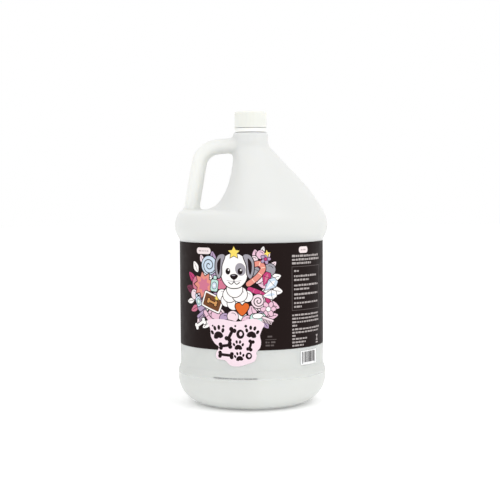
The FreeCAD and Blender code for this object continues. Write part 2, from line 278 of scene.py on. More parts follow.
def settled(points, field, origin, step, rounds=4):
    """Points moved onto the field's zero surface."""
    for _ in range(rounds):
        value = sampled(field, points, origin, step)
        slope = np.stack([
            sampled(field, points + shift, origin, step) - sampled(field, points - shift, origin, step)
            for shift in np.eye(3) * 0.5 * step], axis=1) / step
        points = points - slope * (value / np.maximum((slope ** 2).sum(axis=1), 0.1))[:, None]
    return points


def blurred(field, sigma):
    """The field smoothed by a bell curve of sigma samples."""
    reach = int(math.ceil(3 * sigma))
    taps = np.exp(-0.5 * (np.arange(-reach, reach + 1) / sigma) ** 2)
    taps /= taps.sum()
    for axis in range(3):
        padded = np.pad(field, [(reach, reach) if a == axis else (0, 0) for a in range(3)], mode="edge")
        field = sum(tap * np.take(padded, range(i, i + field.shape[axis]), axis=axis)
                    for i, tap in enumerate(taps))
    return field


# ---- the bottle ----

# The field's cells and how far it is softened. The softening comes in above the upper bumper and goes out
# below the collar's top. The handle is made a little fuller, since softening shrinks it.
CELL = 1.4
SOFTEN = 2.3
SOFT_FROM = 184.0
SOFT_RISE = 8.0
SOFT_TO = 279.0
SOFT_FALL = 4.0
HANDLE_EXTRA_THICK = 0.35
HANDLE_EXTRA_WIDE = 0.25
FIELD_LOW = np.array([-84.0, -84.0, -5.0])
FIELD_HIGH = np.array([84.0, 84.0, 287.0])
TABLE_BELOW = 8
TABLE_ACROSS = 130
TABLE_UP = 292


def table_of(outline, step=0.5):
    """Signed distances to an outline on a grid of radius and height."""
    across, up = np.meshgrid(np.arange(0, TABLE_ACROSS, step), np.arange(-TABLE_BELOW, TABLE_UP, step),
                             indexing="ij")
    return outline_distance(outline, across, up), step


def looked_up(table, across, up):
    """A table's value at radii and heights."""
    values, step = table
    a = np.clip(across / step, 0, values.shape[0] - 1.001)
    u = np.clip((up + TABLE_BELOW) / step, 0, values.shape[1] - 1.001)
    i, j = a.astype(int), u.astype(int)
    a, u = a - i, u - j
    low = values[i, j] * (1 - u) + values[i, j + 1] * u
    high = values[i + 1, j] * (1 - u) + values[i + 1, j + 1] * u
    return low * (1 - a) + high * a


def handle_distance(x, y, z):
    """Roughly the signed distance to the handle's oval tube."""
    corner = rounded_outline([(*HANDLE_START, 0), (*HANDLE_CORNER, HANDLE_BEND), (*HANDLE_END, 0)])
    nearest = np.full(np.broadcast(x, z).shape, 1e9)
    for (ax, az), (bx, bz) in zip(corner[:-1], corner[1:]):
        dx, dz = bx - ax, bz - az
        part = np.clip(((x - ax) * dx + (z - az) * dz) / (dx * dx + dz * dz), 0, 1)
        nearest = np.minimum(nearest, (x - ax - part * dx) ** 2 + (z - az - part * dz) ** 2)
    thick = HANDLE_HALF_THICK + HANDLE_EXTRA_THICK
    wide = HANDLE_HALF_WIDE + HANDLE_EXTRA_WIDE
    level = np.sqrt(nearest / thick ** 2 + (y / wide) ** 2) + 1e-6
    return (level - 1) * level / np.sqrt(nearest / thick ** 4 + y ** 2 / wide ** 4 + 1e-9)


def bottle_field():
    """The bottle's outside as a field, softened round the shoulder and the handle."""
    low = body_corners() + [(SHOULDER, SHOULDER_HEIGHT, RIM_ROUND), (0, SHOULDER_HEIGHT, 0)]
    cone = [(float(shoulder_reach(up)), up, 0) for up in np.arange(SHOULDER_HEIGHT, COLLAR_BOTTOM, 1.0)]
    collar = [(COLLAR, COLLAR_BOTTOM, 0), (COLLAR, COLLAR_TOP, COLLAR_ROUND), (0, COLLAR_TOP, 0)]
    low_table = table_of(rounded_outline(low))
    full_table = table_of(rounded_outline(body_corners() + cone + collar))
    x, y, z = [np.arange(a, b, CELL) for a, b in zip(FIELD_LOW, FIELD_HIGH)]
    x, y, z = x[:, None, None], y[None, :, None], z[None, None, :]
    lower = looked_up(low_table, np.hypot(x, y) + 0 * z, z + 0 * x + 0 * y)
    height = np.maximum(z, SHOULDER_HEIGHT)
    stretch = shoulder_reach(height) / np.minimum(recess_reach(height), shoulder_reach(height))
    across = np.hypot(np.where(x < 0, x * stretch, x), y)
    upper = looked_up(full_table, across, z + 0 * across)
    slope = np.sqrt(sum(part ** 2 for part in np.gradient(upper, CELL)))
    upper = upper / np.maximum(slope, 0.6)
    field = np.minimum(np.minimum(lower, upper), handle_distance(x, y, z))
    soft = blurred(field, SOFTEN / CELL)
    rise = np.clip((z - SOFT_FROM) / SOFT_RISE, 0, 1)
    fall = np.clip((SOFT_TO - z) / SOFT_FALL, 0, 1)
    share = rise * rise * (3 - 2 * rise) * fall
    return field + (soft - field) * share


def make_bottle(plastic):
    """The outer skin of the blow-moulded bottle, in one piece with its handle."""
    field = bottle_field()
    points, quads = surface_net(field, FIELD_LOW, CELL)
    points = settled(points, field, FIELD_LOW, CELL)
    bottle = make_piece("bottle_shell", points, quads, [plastic], "bottle", "bottle_plastic")
    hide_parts("jug")


def make_neck(plastic):
    """The neck that the cap screws onto, with its bead, and the thread that runs round it."""
    wall = rounded_outline([
        (NECK_BORE, COLLAR_TOP - NECK_SUNK, 0), (NECK, COLLAR_TOP - NECK_SUNK, 0), (NECK, BEAD_BOTTOM, 0),
        (BEAD, BEAD_BOTTOM, 0.3), (BEAD, BEAD_TOP, 0.3), (NECK, BEAD_TOP, 0),
        (NECK, NECK_TOP, 0.4), (NECK_BORE, NECK_TOP, 0.4)], step=0.2)
    neck = make_piece("bottle_neck", *lathe(wall, 180), [plastic], "bottle", "bottle_plastic")
    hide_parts("jug")
    section = [(NECK - THREAD_SUNK, -THREAD_ROOT_HALF), (THREAD, -THREAD_CREST_HALF),
               (THREAD, THREAD_CREST_HALF), (NECK - THREAD_SUNK, THREAD_ROOT_HALF)]
    steps = int(THREAD_TURNS * THREAD_STEPS)
    points = []
    for i in range(steps + 1):
        angle = 2 * math.pi * i / THREAD_STEPS
        rise = THREAD_BOTTOM + THREAD_PITCH * i / THREAD_STEPS
        points += [(across * math.cos(angle), across * math.sin(angle), rise + up) for across, up in section]
    faces = [(4 * i + k, 4 * i + (k + 1) % 4, 4 * i + (k + 1) % 4 + 4, 4 * i + k + 4)
             for i in range(steps) for k in range(4)]
    faces += [(3, 2, 1, 0), tuple(4 * steps + k for k in range(4))]
    thread = make_piece("bottle_thread", points, faces, [plastic], "bottle", "bottle_plastic", smooth=False)
    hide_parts("jug")


# ---- flat drawing, in millimetres round the film from its front (u) and above the floor (v) ----

def ellipse(u, v, across, up, turn=0.0, sides=28):
    angles = np.linspace(0, 2 * math.pi, sides, endpoint=False)
    return turned(np.stack([across * np.cos(angles), up * np.sin(angles)], axis=1), u, v, turn)


def turned(points, u, v, turn=0.0):
    """Points turned by an angle in degrees and moved to (u, v)."""
    a = math.radians(turn)
    spin = np.array([[math.cos(a), math.sin(a)], [-math.sin(a), math.cos(a)]])
    return np.asarray(points, float) @ spin + (u, v)


def smooth_loop(points, steps=5):
    """A closed curve through points."""
    p = np.asarray(points, float)
    before, after, later = np.roll(p, 1, 0), np.roll(p, -1, 0), np.roll(p, -2, 0)
    t = (np.arange(steps) / steps)[None, :, None]
    a, b, c, d = before[:, None], p[:, None], after[:, None], later[:, None]
    curve = b + 0.5 * t * (c - a + t * (2 * a - 5 * b + 4 * c - d + t * (3 * (b - c) + d - a)))
    return curve.reshape(-1, 2)


def smooth_path(points, steps=5):
    """An open curve through points."""
    p = np.asarray(points, float)
    p = np.vstack([2 * p[0] - p[1], p, 2 * p[-1] - p[-2]])
    curve = smooth_loop(p, steps)
    return curve[steps:-2 * steps + 1]


def grown(points, width):
    """A loop moved outwards by a width."""
    area = np.sum(points[:, 0] * np.roll(points[:, 1], -1) - points[:, 1] * np.roll(points[:, 0], -1))
    along = np.roll(points, -1, 0) - np.roll(points, 1, 0)
    out = np.stack([along[:, 1], -along[:, 0]], axis=1) * np.sign(area)
    return points + out / np.maximum(np.linalg.norm(out, axis=1), 1e-6)[:, None] * width


def rounded_box(u, v, across, up, radius, turn=0.0):
    """A box with round corners about (u, v)."""
    a, b = across / 2, up / 2
    corners = [(-a, -b, radius), (a, -b, radius), (a, b, radius), (-a, b, radius)]
    return turned(rounded_outline(corners, step=0.8), u, v, turn)


class Drawing:
    """Inked shapes on the film, the later ones over the earlier ones."""

    def __init__(self):
        self.shapes = []

    def fill(self, ink, loop, edge=0.0, edge_ink="line"):
        loop = np.asarray(loop, float)
        if edge:
            self.shapes.append((edge_ink, grown(loop, edge)))
        self.shapes.append((ink, loop))

    def stroke(self, ink, path, width):
        """A line of a given width with round ends, as a chain of four-sided pieces."""
        path = np.asarray(path, float)
        along = np.gradient(path, axis=0)
        side = np.stack([-along[:, 1], along[:, 0]], axis=1)
        side *= width / 2 / np.maximum(np.linalg.norm(side, axis=1), 1e-6)[:, None]
        left, right = path + side, path - side
        for i in range(len(path) - 1):
            self.shapes.append((ink, np.array([left[i], right[i], right[i + 1], left[i + 1]])))
        for end in (path[0], path[-1]):
            self.shapes.append((ink, ellipse(*end, width / 2, width / 2, sides=10)))

    def leaf(self, u, v, length, width, turn, ink="pale"):
        half = length / 2
        loop = smooth_loop([(-half, 0), (-half * 0.3, width / 2), (half * 0.4, width * 0.42), (half, 0),
                            (half * 0.4, -width * 0.42), (-half * 0.3, -width / 2)])
        self.fill(ink, turned(loop, u, v, turn), 0.7)
        self.stroke("line", turned([(-half * 0.8, 0), (half * 0.2, 0), (half * 0.7, 0)], u, v, turn), 0.5)

    def bubble(self, u, v, radius, ink="white", shine="line"):
        self.fill(ink, ellipse(u, v, radius, radius), 0.7)
        arc = np.linspace(0.4, 1.9, 7)
        glint = np.stack([u + radius * 0.62 * np.cos(arc), v + radius * 0.62 * np.sin(arc)], axis=1)
        self.stroke(shine, glint, 0.5)

    def star(self, u, v, radius, points, ink, turn=0.0, waist=0.45, edge=0.7):
        angles = np.arange(2 * points) * math.pi / points
        reach = np.where(np.arange(2 * points) % 2 == 0, radius, radius * waist)
        loop = turned(np.stack([reach * np.sin(angles), reach * np.cos(angles)], axis=1), u, v, turn)
        middle = np.array([u, v])
        if edge:
            self.shapes.append(("line", middle + (loop - middle) * (1 + 1.6 * edge / radius)))
        self.shapes.append((ink, loop))

    def bone(self, u, v, length, turn, ink="white", thick=0.26, edge=0.8, edge_ink="line"):
        half, knob = length / 2, length * thick * 0.62
        bar = [(-half, -knob * 0.7), (half, -knob * 0.7), (half, knob * 0.7), (-half, knob * 0.7)]
        parts = [turned(bar, u, v, turn)]
        for side in (-1, 1):
            for rise in (-1, 1):
                spot = turned([(side * half, rise * knob * 0.8)], u, v, turn)[0]
                parts.append(ellipse(*spot, knob, knob, sides=18))
        for ink_now, grow in ((edge_ink, edge), (ink, 0.0)):
            for part in parts:
                if grow or ink_now == ink:
                    self.shapes.append((ink_now, grown(part, grow)))

    def paw(self, u, v, size, turn, ink):
        pad = smooth_loop([(-0.5, -0.35), (-0.38, 0.02), (0, 0.2), (0.38, 0.02), (0.5, -0.35),
                           (0.2, -0.48), (0, -0.4), (-0.2, -0.48)])
        self.shapes.append((ink, turned(pad * size, u, v, turn)))
        for across, up, lean in ((-0.58, 0.2, 25), (-0.22, 0.55, 8), (0.22, 0.55, -8), (0.58, 0.2, -25)):
            spot = turned([(across * size, up * size)], u, v, turn)[0]
            self.shapes.append((ink, ellipse(*spot, size * 0.15, size * 0.23, turn + lean, sides=16)))

    def flower(self, u, v, radius, petals, ink, heart="gold"):
        for k in range(petals):
            a = 2 * math.pi * k / petals
            spot = (u + radius * 0.6 * math.cos(a), v + radius * 0.6 * math.sin(a))
            self.fill(ink, ellipse(*spot, radius * 0.45, radius * 0.3, math.degrees(a), sides=16), 0.6)
        self.fill(heart, ellipse(u, v, radius * 0.3, radius * 0.3, sides=14), 0.5)

    def swirl(self, u, v, radius, ink, turn=0.0):
        self.fill(ink, ellipse(u, v, radius, radius, sides=36), 0.8)
        turns = np.linspace(0, 3.6 * math.pi, 30)
        reach = radius * (0.12 + 0.78 * turns / turns[-1])
        path = np.stack([reach * np.cos(turns), reach * np.sin(turns)], axis=1)
        self.stroke("line", turned(path, u, v, turn), 0.9)

    def bottle(self, u, v, height, turn, ink, label_ink):
        width = height * 0.5
        body = rounded_box(0, -height * 0.12, width, height * 0.72, width * 0.22)
        cap = rounded_box(0, height * 0.38, width * 0.42, height * 0.2, 0.4)
        self.fill(ink, turned(cap, u, v, turn), 0.7)
        self.fill(ink, turned(body, u, v, turn), 0.7)
        self.fill(label_ink, turned(ellipse(0, -height * 0.12, width * 0.32, height * 0.2), u, v, turn), 0.5)
        self.star(*turned([(0, -height * 0.12)], u, v, turn)[0], height * 0.11, 5, "white", edge=0)

    def comb(self, u, v, length, turn, ink):
        self.fill(ink, turned(rounded_box(0, 0, length, length * 0.2, length * 0.08), u, v, turn), 0.7)
        for k in range(7):
            tooth = rounded_box((k - 3) * length * 0.13, -length * 0.22, length * 0.055, length * 0.26, 0.2)
            self.fill(ink, turned(tooth, u, v, turn), 0.4)

    def crystal(self, u, v, size, turn, ink, ink_two):
        outside = np.array([(-0.35, 0.15), (-0.18, 0.5), (0.18, 0.5), (0.35, 0.15), (0, -0.55)])
        facet = np.array([(-0.12, 0.15), (0.0, 0.42), (0.12, 0.15), (0, -0.4)])
        girdle = np.array([(-0.33, 0.15), (0, 0.13), (0.33, 0.15)])
        self.fill(ink, turned(outside * size, u, v, turn), 0.7)
        self.shapes.append((ink_two, turned(facet * size, u, v, turn)))
        self.stroke("line", turned(girdle * size, u, v, turn), 0.45)

    def ribbon(self, path, width, ink, stripe):
        curve = smooth_path(path, 6)
        self.stroke("line", curve, width + 1.6)
        self.stroke(ink, curve, width)
        for i in range(3, len(curve) - 3, 5):
            along = curve[i + 1] - curve[i - 1]
            side = np.array([-along[1], along[0]]) / np.linalg.norm(along) * width * 0.38
            self.stroke(stripe, [curve[i] - side, curve[i] + side], 0.6)

    def greeked(self, u, v, width, height, ink="print"):
        """One line of fine print, as a row of short bars."""
        end = u + width
        while u < end - 0.8:
            word = min(RNG.uniform(1.6, 5.2), end - u)
            bar = RNG.uniform(0.78, 1.0) * height
            self.shapes.append((ink, np.array([(u, v), (u + word, v), (u + word, v + bar), (u, v + bar)])))
            u += word + RNG.uniform(0.6, 1.0)


def draw_doodles(sheet):
    """The rosette of small grooming doodles round the dog's face."""
    rim = [(-72, 122, 16, 8, 165, "wine"), (-69, 134, 15, 7, 140, "magenta"), (-63, 145, 12, 7, 120, "white"),
           (-72, 110, 12, 5, 190, "white"), (-65, 103, 13, 6, 205, "rose"), (-57, 93, 13, 7, 235, "pale"),
           (-40, 155, 12, 6, 100, "lilac"), (20, 146, 13, 6, 45, "pale"), (23, 135, 14, 7, 15, "white"),
           (24, 122, 15, 8, -8, "white"), (21, 108, 15, 7, -25, "pink"), (20, 97, 13, 6, 10, "pink"),
           (13, 90, 12, 6, -55, "lilac"), (4, 158, 10, 6, 95, "pink"), (16, 156, 9, 4, 60, "pale"),
           (-48, 88, 13, 6, 215, "white"), (11, 162, 8, 4, 75, "white"), (-54, 153, 9, 5, 110, "pale")]
    sheet.fill("line", smooth_loop([(-73, 118), (-66, 141), (-48, 153), (-26, 158), (4, 158), (18, 147),
                                    (24, 128), (21, 104), (12, 91), (-12, 86), (-44, 89), (-64, 101)]))
    for item in rim:
        sheet.leaf(*item)
    for k in range(20):
        around = 2 * math.pi * k / 20
        spot = (-20 + 35 * math.cos(around), 121 + 25 * math.sin(around))
        ink = ("white", "pink", "pale", "lilac")[k % 4]
        sheet.leaf(*spot, 14, 8, math.degrees(around) + 25 * (-1) ** k, ink)
    for u, v, radius, ink in ((-61, 128, 7.5, "rose"), (-66, 117, 5, "pale"), (-37, 112, 8, "lilac"),
                              (-47, 146, 5, "grey"), (-36, 97, 6.5, "pink"), (-27, 94, 6, "lilac"),
                              (3, 139, 7, "grey"), (9, 158, 4.2, "pink"), (2.5, 153, 3.8, "pale"),
                              (10.5, 148.5, 4.6, "magenta"), (18, 143, 6, "grey"), (17, 118, 6.5, "white"),
                              (12, 110, 8.5, "pale"), (4, 112, 5.0, "lilac"), (16, 103, 6.2, "pink"),
                              (-4, 92, 6, "pink"), (-55, 106, 6, "lilac"), (18, 131, 5.5, "blue"),
                              (-31, 129, 6, "rose"), (-19, 97, 5.5, "pale"), (10, 97, 5, "lilac")):
        sheet.bubble(u, v, radius, ink)
    sheet.swirl(-45, 147, 9.2, "blue", 40)
    sheet.star(-52, 127, 13.5, 9, "salmon", 8, 0.66, 1.1)
    sheet.star(-52, 127, 8.5, 7, "rose", 20, 0.6, 0)
    sheet.bottle(-38.5, 129, 16, -8, "teal", "blue")
    sheet.bottle(-60, 111.5, 13, 28, "blue", "teal")
    sheet.fill("white", rounded_box(-41.5, 110.5, 23, 16, 1.5, -20), 0.8)
    sheet.fill("brown", rounded_box(-41.5, 110.5, 20, 13, 1.0, -20))
    sheet.bone(-41.5, 110.5, 9, -20, "ochre")
    sheet.star(-36, 114.5, 2.8, 5, "gold", 10, 0.45, 0.4)
    sheet.comb(-55, 98.5, 15, 35, "lilac")
    sheet.bone(-57, 88.0, 12, 30, "white")
    sheet.ribbon([(-50, 100), (-44, 93), (-34, 90), (-24, 91), (-14, 89), (-5, 91)], 4.2, "pink", "wine")
    sheet.ribbon([(-3, 129), (6, 136), (11.5, 144), (8, 149), (1, 148)], 5.0, "salmon", "cream")
    sheet.ribbon([(-2, 124), (6, 121), (13, 117), (17, 110)], 4.6, "magenta", "rose")
    sheet.crystal(14.5, 134, 13, -20, "magenta", "rose")
    sheet.crystal(19, 128, 15, -48, "blue", "white")
    sheet.crystal(18, 118, 14, -82, "white", "blue")
    sheet.swirl(6.5, 112, 6.8, "pale", 120)
    sheet.flower(16.5, 104, 7.5, 6, "pink", "white")
    sheet.flower(14, 153.5, 5.0, 5, "lilac", "magenta")
    sheet.star(15.5, 159, 3.6, 4, "gold", 10, 0.4, 0.3)
    sheet.fill("teal", rounded_box(6, 95.5, 15, 8.5, 3.5, 3), 0.8)
    sheet.fill("white", ellipse(6, 97.5, 5.2, 2.4, 3), 0.6)
    sheet.comb(16, 94, 12, -20, "pale")


def draw_dog(sheet):
    """A plain dog's face with hanging ears, over foam and an orange heart."""
    for u, v, radius in ((-30, 118, 5.5), (-25, 112.5, 6), (-18, 110, 6.5), (-10, 112, 6), (-4.5, 117, 5.5),
                         (-22, 118, 7), (-12, 119, 7.5), (-17, 124, 8)):
        sheet.bubble(u, v, radius, "white", "grey")
    face = [(-31, 143), (-29, 153), (-22, 158.5), (-13, 158.5), (-6, 153), (-4, 143),
            (-5.5, 133), (-11, 126.5), (-17.5, 125), (-24, 126.5), (-29.5, 133)]
    sheet.fill("white", smooth_loop(face), 0.9)
    sheet.fill("grey", ellipse(-11.0, 143.5, 5.2, 6.4, 15))
    for side in (-1, 1):
        ear = [(9.5, 14), (15.5, 14.5), (19.5, 8), (19.5, -2), (16.5, -8.5), (13.2, -4.5), (12.8, 4)]
        loop = smooth_loop([(-17.5 + side * a, 143 + b) for a, b in ear])
        sheet.fill("grey", loop, 0.9)
        sheet.fill("ink", smooth_loop([(-17.5 + side * a, 143 + b) for a, b in
                                         [(14, 11.5), (17.6, 7), (17.6, -1), (16, -5), (14.5, 0), (14, 6)]]))
        sheet.fill("line", ellipse(-17.5 + side * 6.2, 141.5, 2.5, 3.2))
        sheet.fill("white", ellipse(-17.5 + side * 6.2 + 0.8, 142.8, 0.8, 0.9, sides=12))
        mouth = [(0, -11.6), (side * 2.6, -14.2), (side * 5.6, -12.4)]
        sheet.stroke("line", smooth_path([(-17.5 + a, 143 + b) for a, b in mouth]), 0.8)
    sheet.fill("grey", ellipse(-17.5, 132.5, 7.6, 1.0))
    sheet.fill("white", ellipse(-17.5, 133.4, 8.2, 1.4))
    sheet.fill("line", smooth_loop([(-21.6, 137), (-20, 138.6), (-17.5, 139), (-15, 138.6), (-13.4, 137),
                                    (-15, 134.4), (-17.5, 133.2), (-20, 134.4)]))
    sheet.fill("grey", ellipse(-18, 137.6, 1.8, 0.5))
    sheet.stroke("line", [(-17.5, 133.4), (-17.5, 132.4), (-17.5, 131.4)], 0.8)
    sheet.fill("orange", smooth_loop([(-9.5, 98), (-15.5, 104.5), (-15.8, 109), (-12.2, 110.2),
                                      (-9.4, 107.8), (-6.6, 110.2), (-3.2, 109), (-3.5, 104.5)]), 0.9)
    sheet.star(-17.5, 160, 6.2, 5, "gold", 0, 0.5, 0.8)


def draw_splash(sheet):
    """The pink splash that spills from the dark band over its edge, with paws, bones and bubbles on it."""
    sheet.fill("splash", smooth_loop([
        (-47, 92), (-44, 84), (-43, 76), (-38.5, 69.5), (-34, 66), (-37, 60), (-36, 54.5), (-27, 53),
        (-22, 48.5), (-14, 47.5), (-6, 49.5), (2, 52.5), (4.5, 57), (4.5, 62), (8, 66), (9, 72),
        (8, 78), (10, 84), (12, 90), (2, 95), (-14, 92), (-32, 94)], 6))
    sheet.paw(-35.0, 79.5, 10.5, 12, "ink")
    sheet.bone(-21.5, 79.0, 10.5, 62, "ink", 0.34, 0)
    sheet.fill("ink", ellipse(-11.5, 79.5, 4.0, 4.6))
    sheet.fill("splash", ellipse(-11.0, 79.8, 1.6, 2.1, sides=16))
    sheet.paw(0.0, 80.5, 9.4, -10, "ink")
    sheet.bone(-27.0, 67.8, 10.0, 8, "ink", 0.34, 0)
    sheet.paw(-13.5, 67.6, 7.6, 0, "ink")
    sheet.bone(-1.5, 68.4, 8.0, 74, "ink", 0.36, 0)
    sheet.bone(-26.5, 58.5, 12.5, -4, "ink", 0.26, 0)
    sheet.paw(-12.5, 56.5, 7.2, 8, "ink")
    sheet.fill("ink", ellipse(-3.2, 58.0, 3.2, 3.4))
    sheet.fill("splash", ellipse(-2.8, 58.2, 1.4, 1.6, sides=14))
    for u, v, radius in ((-29, 87, 1.3), (-16.5, 87.5, 1.0), (-6, 87.5, 1.4), (-41, 87, 1.0)):
        sheet.fill("ink", ellipse(u, v, radius, radius, sides=14))


def draw_side_panel(sheet):
    """The column of fine print at the right, its frame, the two pale tabs and the small marks."""
    sheet.fill("tab", rounded_box(-52, 161.2, 18.5, 6.4, 3.0))
    sheet.greeked(-58.5, 160.5, 13, 1.4, "faint")
    sheet.fill("tab", rounded_box(57.5, 161.6, 12.5, 6.4, 2.6))
    sheet.greeked(53.8, 160.9, 8, 1.4, "faint")
    for row, width in ((154.6, 42), (151.0, 44), (147.4, 27)):
        sheet.greeked(42.5, row, width, 2.2)
    for path in ([(42.5, 101.5), (42.5, 145.0)], [(86.5, 101.5), (86.5, 145.0)],
                 [(42.5, 101.5), (86.5, 101.5)], [(42.5, 145.0), (86.5, 145.0)]):
        sheet.stroke("frame", path, 0.55)
    for row, width in ((139.8, 6), (134.6, 36), (130.8, 21), (125.4, 39), (121.6, 22), (116.4, 38),
                       (112.6, 15), (107.8, 38), (104.0, 11)):
        sheet.greeked(45.0, row, width, 2.0)
    for row, width in ((95.8, 42), (92.3, 43), (88.8, 43), (85.3, 6), (81.6, 44), (78.4, 42), (75.2, 4)):
        sheet.greeked(42.5, row, width, 1.8)
    for row, width in ((72.0, 20), (68.6, 18), (65.4, 15)):
        sheet.greeked(42.5, row, width, 1.8)
    sheet.fill("print", [(79, 74.5), (83.5, 74.5), (81.6, 71.5), (83.5, 68.5), (79, 68.5), (80.9, 71.5)])
    sheet.fill("print", rounded_box(81.3, 66.6, 4.8, 1.5, 0.5))
    for row, start, width in ((76.0, 15.5, 6), (70.2, 13.5, 4), (70.2, 19, 5), (67.2, 13.5, 10)):
        sheet.greeked(start, row, width, 1.9, "frame")
    sheet.stroke("frame", [(13.5, 73.8), (24.5, 73.8)], 0.5)
    sheet.greeked(-39, 34.9, 44, 1.1, "fine")


# ---- materials ----

def shade(red, green, blue):
    """A colour as it looks on a screen, 0 to 255, as a linear colour."""
    values = [value / 255 for value in (red, green, blue)]
    return tuple(v / 12.92 if v < 0.04045 else ((v + 0.055) / 1.055) ** 2.4 for v in values) + (1.0,)


class Finish:
    """A procedural material built on one principled shader."""

    def __init__(self, name, **constants):
        self.material = bpy.data.materials.new(name)
        self.material.use_nodes = True
        self.nodes = self.material.node_tree.nodes
        self.shader = self.nodes["Principled BSDF"]
        self.place = self.nodes.new("ShaderNodeTexCoord").outputs["Object"]
        for key, value in constants.items():
            self.shader.inputs[key.replace("_", " ")].default_value = value

    def link(self, output, target):
        self.material.node_tree.links.new(output, target)

    def stretched(self, scale):
        """The piece's own coordinates, scaled along each axis."""
        mapping = self.nodes.new("ShaderNodeMapping")
        mapping.inputs["Scale"].default_value = scale
        self.link(self.place, mapping.inputs["Vector"])
        return mapping.outputs["Vector"]

    def noise(self, scale, detail=4.0, roughness=0.5, place=None):
        node = self.nodes.new("ShaderNodeTexNoise")
        node.inputs["Scale"].default_value = scale
        node.inputs["Detail"].default_value = detail
        node.inputs["Roughness"].default_value = roughness
        self.link(place or self.place, node.inputs["Vector"])
        return node.outputs["Fac"]

    def between(self, value, low, high, start=0.3, end=0.7):
        """A value from 0 to 1 turned into one from low to high."""
        node = self.nodes.new("ShaderNodeMapRange")
        for key, number in (("From Min", start), ("From Max", end), ("To Min", low), ("To Max", high)):
            node.inputs[key].default_value = number
        self.link(value, node.inputs["Value"])
        return node.outputs["Result"]

    def colours(self, value, low, high, start=0.35, end=0.65):
        """A value from 0 to 1 turned into a colour between two."""
        node = self.nodes.new("ShaderNodeValToRGB")
        node.color_ramp.elements[0].position = start
        node.color_ramp.elements[0].color = low
        node.color_ramp.elements[1].position = end
        node.color_ramp.elements[1].color = high
        self.link(value, node.inputs["Fac"])
        return node.outputs["Color"]

    def bump(self, value, depth, strength=1.0, onto=None):
        """A bump of the given depth in millimetres, on top of an earlier one."""
        node = self.nodes.new("ShaderNodeBump")
        node.inputs["Strength"].default_value = strength
        node.inputs["Distance"].default_value = depth * MM
        self.link(value, node.inputs["Height"])
        if onto is not None:
            self.link(onto, node.inputs["Normal"])
        self.link(node.outputs["Normal"], self.shader.inputs["Normal"])
        return node.outputs["Normal"]


def seamed(finish, value):
    """The mould's parting line, a low ridge in the handle's plane, over an earlier bump."""
    split = finish.nodes.new("ShaderNodeSeparateXYZ")
    finish.link(finish.place, split.inputs["Vector"])
    size = finish.nodes.new("ShaderNodeMath")
    size.operation = "ABSOLUTE"
    finish.link(split.outputs["Y"], size.inputs[0])
    return finish.bump(finish.between(size.outputs["Value"], 1.0, 0.0, 0.0, 0.5 * MM), 0.35, onto=value)


def milky_plastic(name, low, high, roughness, depth):
    """Natural polyethylene, milky and slightly uneven, as its finish, its tint and its relief."""
    finish = Finish(name, Subsurface_Weight=0.7, Subsurface_Scale=depth * MM, IOR=1.5)
    finish.shader.inputs["Subsurface Radius"].default_value = (1.0, 0.95, 0.85)
    tint = finish.colours(finish.noise(9.0), low, high)
    finish.link(tint, finish.shader.inputs["Base Color"])
    finish.link(finish.between(finish.noise(60.0), roughness - 0.04, roughness + 0.05),
                finish.shader.inputs["Roughness"])
    relief = finish.bump(finish.noise(22.0, detail=0.0), 0.05, 0.5)
    return finish, tint, relief


def bottle_milk():
    """The bottle's wall: darker low down and lighter above about 160 to 195 mm, with a painted glow in the
    thin handle that stands in for light shining through it.
    """
    low, high = shade(208, 210, 207), shade(217, 219, 216)
    finish, tint, relief = milky_plastic("bottle_milk", low, high, 0.36, 12.0)
    split = finish.nodes.new("ShaderNodeSeparateXYZ")
    finish.link(finish.place, split.inputs["Vector"])
    # the wall is darker low down and is mixed towards a lighter colour from about 160 mm up to 195 mm
    above = finish.between(split.outputs["Z"], 0.0, 1.0, 0.160, 0.195)
    # painted glow: the thin handle, left of about -30 to -55 mm and above about 196 to 206 mm, is mixed
    # towards a lighter colour to stand in for light shining through it
    painted_handle_glow = finish.nodes.new("ShaderNodeMath")
    painted_handle_glow.operation = "MULTIPLY"
    finish.link(finish.between(split.outputs["X"], 1.0, 0.0, -0.055, -0.030), painted_handle_glow.inputs[0])
    finish.link(finish.between(split.outputs["Z"], 0.0, 1.0, 0.196, 0.206), painted_handle_glow.inputs[1])
    for amount, lighter in ((above, shade(221, 222, 220)), (painted_handle_glow.outputs["Value"], shade(231, 232, 229))):
        mix = finish.nodes.new("ShaderNodeMix")
        mix.data_type = "RGBA"
        finish.link(amount, mix.inputs["Factor"])
        finish.link(tint, mix.inputs["A"])
        mix.inputs["B"].default_value = lighter
        tint = mix.outputs["Result"]
    finish.link(tint, finish.shader.inputs["Base Color"])
    seamed(finish, relief)
    return finish.material


def foam():
    """The liner's closed-cell foam, with its cells cut open at the face."""
    finish = Finish("liner_cells", Roughness=0.8, Subsurface_Weight=0.2, Subsurface_Scale=0.002)
    finish.link(finish.colours(finish.noise(700.0, detail=3.0), shade(222, 221, 216), shade(244, 244, 241)),
                finish.shader.inputs["Base Color"])
    cells = finish.nodes.new("ShaderNodeTexVoronoi")
    cells.inputs["Scale"].default_value = 1800.0
    finish.link(finish.place, cells.inputs["Vector"])
    finish.bump(cells.outputs["Distance"], 0.12, 0.7)
    return finish.material


def paper():
    """The sticker's coated paper, with its fibres."""
    finish = Finish("sticker_fibres", Roughness=0.45, Specular_IOR_Level=0.35)
    fibres = finish.noise(1, place=finish.stretched((900, 900, 160)))
    finish.link(finish.colours(fibres, shade(238, 238, 238), shade(250, 250, 250)),
                finish.shader.inputs["Base Color"])
    finish.bump(finish.noise(1400.0, detail=3.0), 0.012)
    return finish.material


